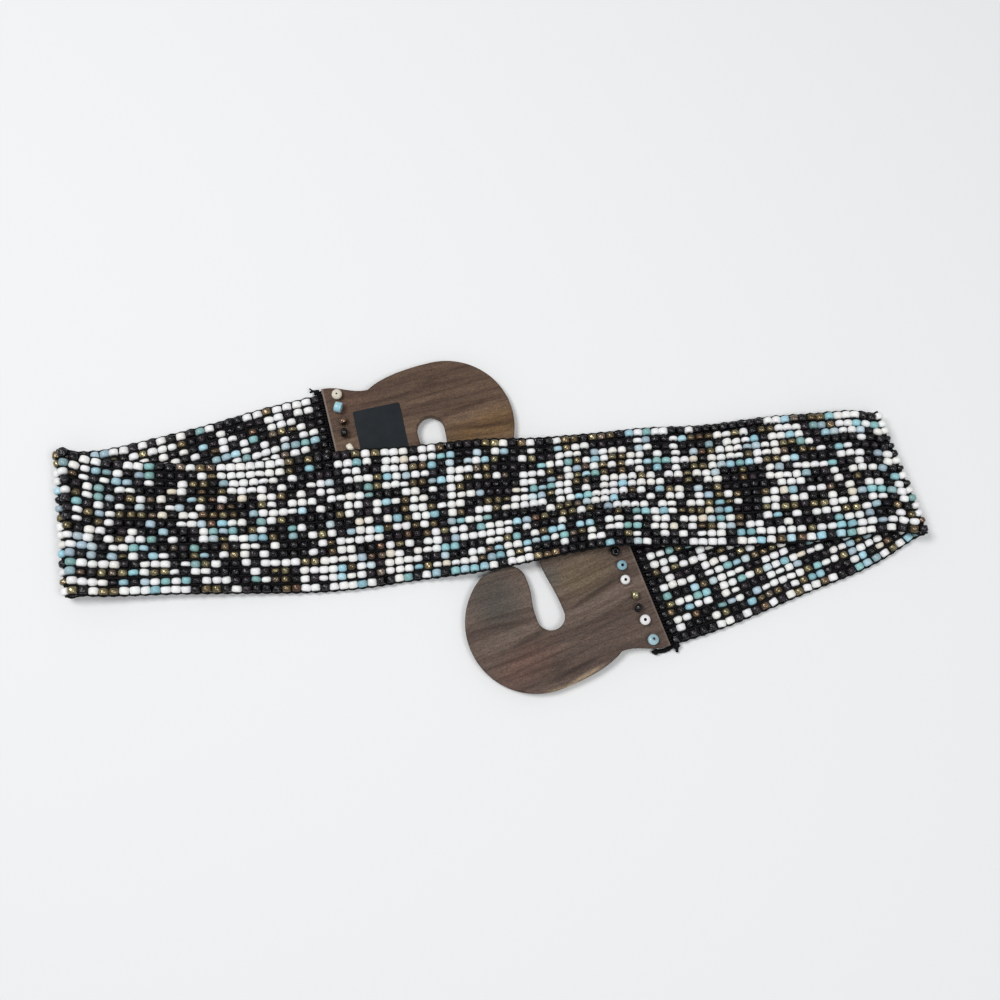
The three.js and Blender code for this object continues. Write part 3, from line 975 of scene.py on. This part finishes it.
def noise(tree, vector, scale, detail=3.0, roughness=0.5):
    made = add(tree, "ShaderNodeTexNoise")
    made.inputs["Scale"].default_value = scale
    made.inputs["Detail"].default_value = detail
    made.inputs["Roughness"].default_value = roughness
    join(tree, vector, made.inputs["Vector"])
    return made.outputs["Fac"]


def ramp(tree, value, stops):
    made = add(tree, "ShaderNodeValToRGB")
    elements = made.color_ramp.elements
    while len(elements) < len(stops):
        elements.new(0.5)
    for element, (position, colour) in zip(elements, stops):
        element.position = position
        element.color = (*colour, 1)
    join(tree, value, made.inputs["Fac"])
    return made.outputs["Color"]


def spread(tree, value, low, high, out_low, out_high):
    made = add(tree, "ShaderNodeMapRange")
    for socket, number in zip(("From Min", "From Max", "To Min", "To Max"), (low, high, out_low, out_high)):
        made.inputs[socket].default_value = number
    join(tree, value, made.inputs["Value"])
    return made.outputs["Result"]


def mixed(tree, factor, first, second, blend="MIX"):
    """Two colours mixed. Each value is a constant or another node's output."""
    made = add(tree, "ShaderNodeMix", data_type="RGBA", blend_type=blend)
    for name, value in (("Factor", factor), ("A", first), ("B", second)):
        if isinstance(value, bpy.types.NodeSocket):
            join(tree, value, made.inputs[name])
        else:
            made.inputs[name].default_value = value
    return made.outputs["Result"]


def times(tree, colour, factor):
    """A colour made darker or lighter by a value."""
    return mixed(tree, 1, colour, factor, "MULTIPLY")


def bumped(tree, shader, height, strength, distance):
    made = add(tree, "ShaderNodeBump")
    made.inputs["Strength"].default_value = strength
    made.inputs["Distance"].default_value = distance * MM
    join(tree, height, made.inputs["Height"])
    join(tree, made.outputs["Normal"], shader.inputs["Normal"])


def own_coordinates(tree):
    """The piece's own coordinates, in millimetres."""
    place = add(tree, "ShaderNodeTexCoord")
    scaled = add(tree, "ShaderNodeVectorMath", operation="SCALE")
    scaled.inputs["Scale"].default_value = 1 / MM
    join(tree, place.outputs["Object"], scaled.inputs[0])
    return scaled.outputs["Vector"]


def stretched(tree, vector, scales):
    made = add(tree, "ShaderNodeVectorMath", operation="MULTIPLY")
    made.inputs[1].default_value = scales
    join(tree, vector, made.inputs[0])
    return made.outputs["Vector"]


def value_of(tree, name):
    return add(tree, "ShaderNodeAttribute", attribute_name=name).outputs["Fac"]


def glass_material(name, hues, ends, tone, roughness, relief, **sockets):
    """Glass beads: a hue by bead, lighter or darker by bead, and painted shade towards the drilled ends,
    where the beads touch and in the bore. On gold it is deep, which leaves a painted glint in the middle.
    """
    material, tree, shader = new_material(name, roughness, **sockets)
    colour = ramp(tree, value_of(tree, "bead_hue"), hues)
    colour = times(tree, colour, spread(tree, value_of(tree, "bead_tone"), 0, 1, *tone))
    # Painted shade towards the drilled ends; the gold's deep one leaves a painted glint in its middle.
    colour = times(tree, colour, spread(tree, value_of(tree, "bead_end_shade"), 0.55, 1, 1, ends))
    where = own_coordinates(tree)
    colour = times(tree, colour, spread(tree, noise(tree, where, 0.9), 0.3, 0.7, 0.93, 1.04))
    join(tree, colour, shader.inputs["Base Color"])
    grain = noise(tree, where, 1.6, 4)
    join(tree, spread(tree, grain, 0.3, 0.7, roughness * 0.7, roughness * 1.4), shader.inputs["Roughness"])
    bumped(tree, shader, noise(tree, where, 1.2, 3), relief, 0.35)
    return material


def plate_coordinates(tree, number):
    """Coordinates of a hook plate, in millimetres: its grain runs along X, its top is at its thickness."""
    inverse = in_frame(plate_matrix(number)).inverted()
    made = add(tree, "ShaderNodeMapping", vector_type="POINT")
    made.inputs["Location"].default_value = inverse.translation / MM
    made.inputs["Rotation"].default_value = inverse.to_euler()
    join(tree, own_coordinates(tree), made.inputs["Vector"])
    return made.outputs["Vector"]


def patch(tree, where, place, half_sizes, turn):
    """1 in the middle of a soft oval patch that goes through the whole plate, 0 outside it."""
    made = add(tree, "ShaderNodeMapping", vector_type="TEXTURE")
    made.inputs["Location"].default_value = (*place, 0)
    made.inputs["Rotation"].default_value = (0, 0, math.radians(turn))
    made.inputs["Scale"].default_value = (*half_sizes, 1000)
    join(tree, where, made.inputs["Vector"])
    length = add(tree, "ShaderNodeVectorMath", operation="LENGTH")
    join(tree, made.outputs["Vector"], length.inputs[0])
    smooth = add(tree, "ShaderNodeMapRange", interpolation_type="SMOOTHSTEP")
    smooth.inputs["From Min"].default_value = 1
    smooth.inputs["From Max"].default_value = 0.15
    join(tree, length.outputs["Value"], smooth.inputs["Value"])
    return smooth.outputs["Result"]


def pushed(tree, vector, wave_scales, push):
    """Coordinates bent by a soft noise."""
    bend = add(tree, "ShaderNodeTexNoise")
    bend.inputs["Scale"].default_value = 1
    bend.inputs["Detail"].default_value = 1
    join(tree, stretched(tree, vector, wave_scales), bend.inputs["Vector"])
    made = add(tree, "ShaderNodeVectorMath", operation="MULTIPLY_ADD")
    made.inputs[1].default_value = push
    join(tree, bend.outputs["Color"], made.inputs[0])
    join(tree, vector, made.inputs[2])
    return made.outputs["Vector"]


def part_of(tree, vector, axis):
    split = add(tree, "ShaderNodeSeparateXYZ")
    join(tree, vector, split.inputs["Vector"])
    return split.outputs[axis]


# Patches of the wood of each plate: place, half sizes, turn in degrees and tint. The second plate's
# last two are painted highlights on its rim.
wood_patches = [
    [
        ((72, -5), (22, 12), 8, (1.4, 1.3, 0.85)),
        ((55, -6), (12, 10), 0, (1.15, 1.1, 0.8)),
        ((12, 20), (18, 10), 0, (1.0, 0.9, 0.9)),
        ((59, 5.8), (25, 2), 7, (0.6, 0.55, 0.54)),
        ((27, 18.4), (26, 1.7), 1.5, (0.68, 0.64, 0.62)),
        ((70, -4.2), (14, 1.5), -2, (0.68, 0.64, 0.62)),
        ((50, 13), (18, 1.6), 5, (0.74, 0.7, 0.7)),
    ],
    [
        ((24, -12), (22, 15), 0, (1.05, 1.06, 0.82)),
        ((64, -15), (17, 20), 0, (0.62, 0.72, 0.76)),
        ((38, -16), (7, 9), 0, (0.72, 0.84, 0.92)),
        ((62, 16), (24, 12), 12, (1.2, 1.0, 0.95)),
        ((22.5, -2.4), (20, 1.8), 13, (0.52, 0.46, 0.46)),
        ((55, 5.5), (15, 2.2), 6, (0.5, 0.47, 0.46)),
        ((62, 12.5), (22, 1.3), -4, (0.74, 0.7, 0.7)),
        ((28, 13), (20, 1.4), 8, (0.74, 0.7, 0.7)),
        ((44, 25.4), (18, 1.9), 6, (0.5, 0.46, 0.44)),
        # Painted highlights: thin light lines along the rim.
        ((39, 29.4), (13, 1.6), 9, (2.8, 3.1, 2.6)),
        ((53, 30.6), (14, 1.6), -4, (2.4, 2.6, 2.3)),
    ],
]


def wood_material(number, tones, end_rim_highlight):
    """Oiled dark wood: soft streaks along the plate, thin dark lines, fine pores, patches of another tint,
    painted highlights on the rim of the straight end and along part of the second plate's long edge,
    and a satin finish."""
    material, tree, shader = new_material(f"wood_{number}", 0.5, specular_ior_level=0.2)
    where = plate_coordinates(tree, number)
    bent = pushed(tree, where, (0.016, 0.03, 0.05), (0, 11, 0))
    broad = noise(tree, stretched(tree, bent, (0.008, 0.13, 0.1)), 1, 2, 0.5)
    streaks = noise(tree, stretched(tree, bent, (0.012, 0.42, 0.3)), 1, 3, 0.55)
    lines = noise(tree, stretched(tree, bent, (0.01, 0.24, 0.2)), 1, 1, 0.4)
    fibre = noise(tree, stretched(tree, where, (0.35, 1.9, 1.9)), 1, 3, 0.65)
    grit = noise(tree, where, 1.3, 3, 0.8)
    colour = ramp(tree, broad, list(zip((0.34, 0.5, 0.66), tones)))
    for place, half_sizes, turn, tint in wood_patches[number - 1]:
        share = patch(tree, where, place, half_sizes, turn)
        colour = mixed(tree, share, colour, (*tint, 1), "MULTIPLY")
    colour = times(tree, colour, spread(tree, streaks, 0.32, 0.68, 0.84, 1.12))
    plain = (1, 1, 1)
    dark_line = (0.72, 0.68, 0.65)
    colour = times(tree, colour, ramp(tree, lines, [(0.42, plain), (0.48, dark_line), (0.55, plain)]))
    colour = times(tree, colour, spread(tree, fibre, 0.3, 0.7, 0.7, 1.3))
    colour = times(tree, colour, spread(tree, grit, 0.32, 0.68, 0.62, 1.36))
    # Painted highlight: the straight end and its rim are made lighter, as where they catch the light.
    rim_highlight = spread(tree, part_of(tree, where, "X"), 0.4, 1.0, end_rim_highlight, 0)
    rim_highlight_colour = (0.27, 0.22, 0.19, 1)
    colour = mixed(tree, rim_highlight, colour, rim_highlight_colour)
    join(tree, colour, shader.inputs["Base Color"])
    join(tree, spread(tree, fibre, 0.3, 0.7, 0.44, 0.62), shader.inputs["Roughness"])
    bumped(tree, shader, fibre, 0.3, 0.1)
    return material


def elastic_material():
    """Black elastic cord with a fine twist."""
    material, tree, shader = new_material("elastic", 0.75, specular_ior_level=0.12)
    where = own_coordinates(tree)
    stops = [(0.3, (0.003, 0.003, 0.004)), (0.7, (0.009, 0.009, 0.01))]
    colour = ramp(tree, noise(tree, where, 1.4), stops)
    join(tree, colour, shader.inputs["Base Color"])
    bumped(tree, shader, noise(tree, where, 3.5, 2), 0.6, 0.15)
    return material


def label_material():
    """Coated dark paper, a little rubbed."""
    material, tree, shader = new_material("label", 0.55, specular_ior_level=0.12)
    where = own_coordinates(tree)
    stops = [(0.3, (0.008, 0.011, 0.014)), (0.7, (0.012, 0.016, 0.02))]
    colour = ramp(tree, noise(tree, where, 0.25), stops)
    join(tree, colour, shader.inputs["Base Color"])
    join(tree, spread(tree, noise(tree, where, 0.5), 0.3, 0.7, 0.36, 0.52), shader.inputs["Roughness"])
    bumped(tree, shader, noise(tree, where, 2.5, 3), 0.25, 0.06)
    return material


def make_materials():
    black = [(0, (0.002, 0.002, 0.003)), (0.6, (0.004, 0.003, 0.005)), (1, (0.013, 0.008, 0.012))]
    white = [(0, (0.86, 0.85, 0.84)), (0.35, (0.85, 0.84, 0.86)), (0.6, (0.85, 0.87, 0.86)),
             (0.9, (0.87, 0.86, 0.83)), (1, (0.83, 0.80, 0.75))]
    cream = [(0, (0.80, 0.75, 0.64)), (1, (0.78, 0.70, 0.56))]
    turquoise = [(0, (0.45, 0.65, 0.73)), (0.25, (0.31, 0.56, 0.66)), (0.45, (0.26, 0.51, 0.53)),
                 (0.6, (0.22, 0.41, 0.39)), (0.75, (0.36, 0.47, 0.56)), (1, (0.57, 0.68, 0.71))]
    gold = [(0, (0.25, 0.205, 0.115)), (0.35, (0.16, 0.115, 0.068)), (0.65, (0.31, 0.275, 0.16)),
            (0.85, (0.16, 0.095, 0.065)), (1, (0.23, 0.20, 0.165))]
    brown = [(0.073, 0.042, 0.028), (0.104, 0.063, 0.041), (0.134, 0.084, 0.055)]
    grey_brown = [(0.073, 0.047, 0.037), (0.101, 0.069, 0.054), (0.128, 0.092, 0.073)]
    # ends is how dark the painted shade at a bead's drilled ends goes; on gold it makes a painted glint.
    return {
        "black": glass_material("black_glass", black, ends=0.6, tone=(0.6, 1.5), roughness=0.07,
                                relief=0.85, specular_ior_level=0.42),
        "white": glass_material("white_glass", white, ends=0.84, tone=(0.93, 1.03), roughness=0.3,
                                relief=0.25),
        "cream": glass_material("cream_glass", cream, ends=0.8, tone=(0.9, 1.03), roughness=0.3,
                                relief=0.25),
        "turquoise": glass_material("turquoise_glass", turquoise, ends=0.66, tone=(0.76, 1.14),
                                    roughness=0.28, relief=0.3),
        "gold": glass_material("gold_glass", gold, ends=0.16, tone=(0.6, 1.25), roughness=0.17,
                               relief=0.7, metallic=0.75),
        "elastic": elastic_material(),
        "wood_1": wood_material(1, brown, 0.7),
        "wood_2": wood_material(2, grey_brown, 0.4),
        "label": label_material(),
    }


# Studio
def pale_floor():
    mesh = bpy.data.meshes.new("floor")
    half = 3
    corners = [(-half, -half, 0), (half, -half, 0), (half, half, 0), (-half, half, 0)]
    mesh.from_pydata(corners, [], [(0, 1, 2, 3)])
    floor = new_object("floor", mesh)
    material, _, shader = new_material("floor", 0.8)
    shader.inputs["Base Color"].default_value = (0.8, 0.805, 0.81, 1)
    mesh.materials.append(material)


def soft_light(name, place, size, power):
    light = bpy.data.lights.new(name, "AREA")
    light.shape = "DISK"
    light.size = size
    light.energy = power
    lamp = new_object(name, light)
    lamp.location = place
    lamp.rotation_euler = (-Vector(place)).to_track_quat("-Z", "Y").to_euler()


def studio():
    world = bpy.data.worlds.new("studio")
    bpy.context.scene.world = world
    world.use_nodes = True
    sky = world.node_tree.nodes["Background"].inputs
    sky["Color"].default_value = (0.97, 0.985, 1, 1)
    sky["Strength"].default_value = 0.38
    soft_light("key", (-0.65, 0.25, 1.35), 0.6, 12.2)
    soft_light("fill", (0.6, -0.35, 1.35), 0.6, 6.9)
    bpy.context.scene.view_settings.view_transform = "Standard"


def camera():
    data = bpy.data.cameras.new("camera")
    data.angle = camera_view_angle
    eye = new_object("camera", data)
    back = Vector((0, -math.cos(camera_height_angle), math.sin(camera_height_angle)))
    eye.location = (zero + back * camera_distance) * MM
    eye.rotation_euler = (math.pi / 2 - camera_height_angle, 0, 0)
    bpy.context.scene.camera = eye


camera()
studio()
pale_floor()
materials = make_materials()
band = Band()
beads = Beads(band)
woven_beads(beads, materials)
woven_cords(band, beads, materials["elastic"])
wooden_plates(materials)
blank_label(materials)
for number, row in enumerate(stoppers, 1):
    loose_cords(number, materials["elastic"])
    for k, bead in enumerate(row):
        stopper_bead(number, k, bead, materials)
        tie(number, k, bead, materials["elastic"])
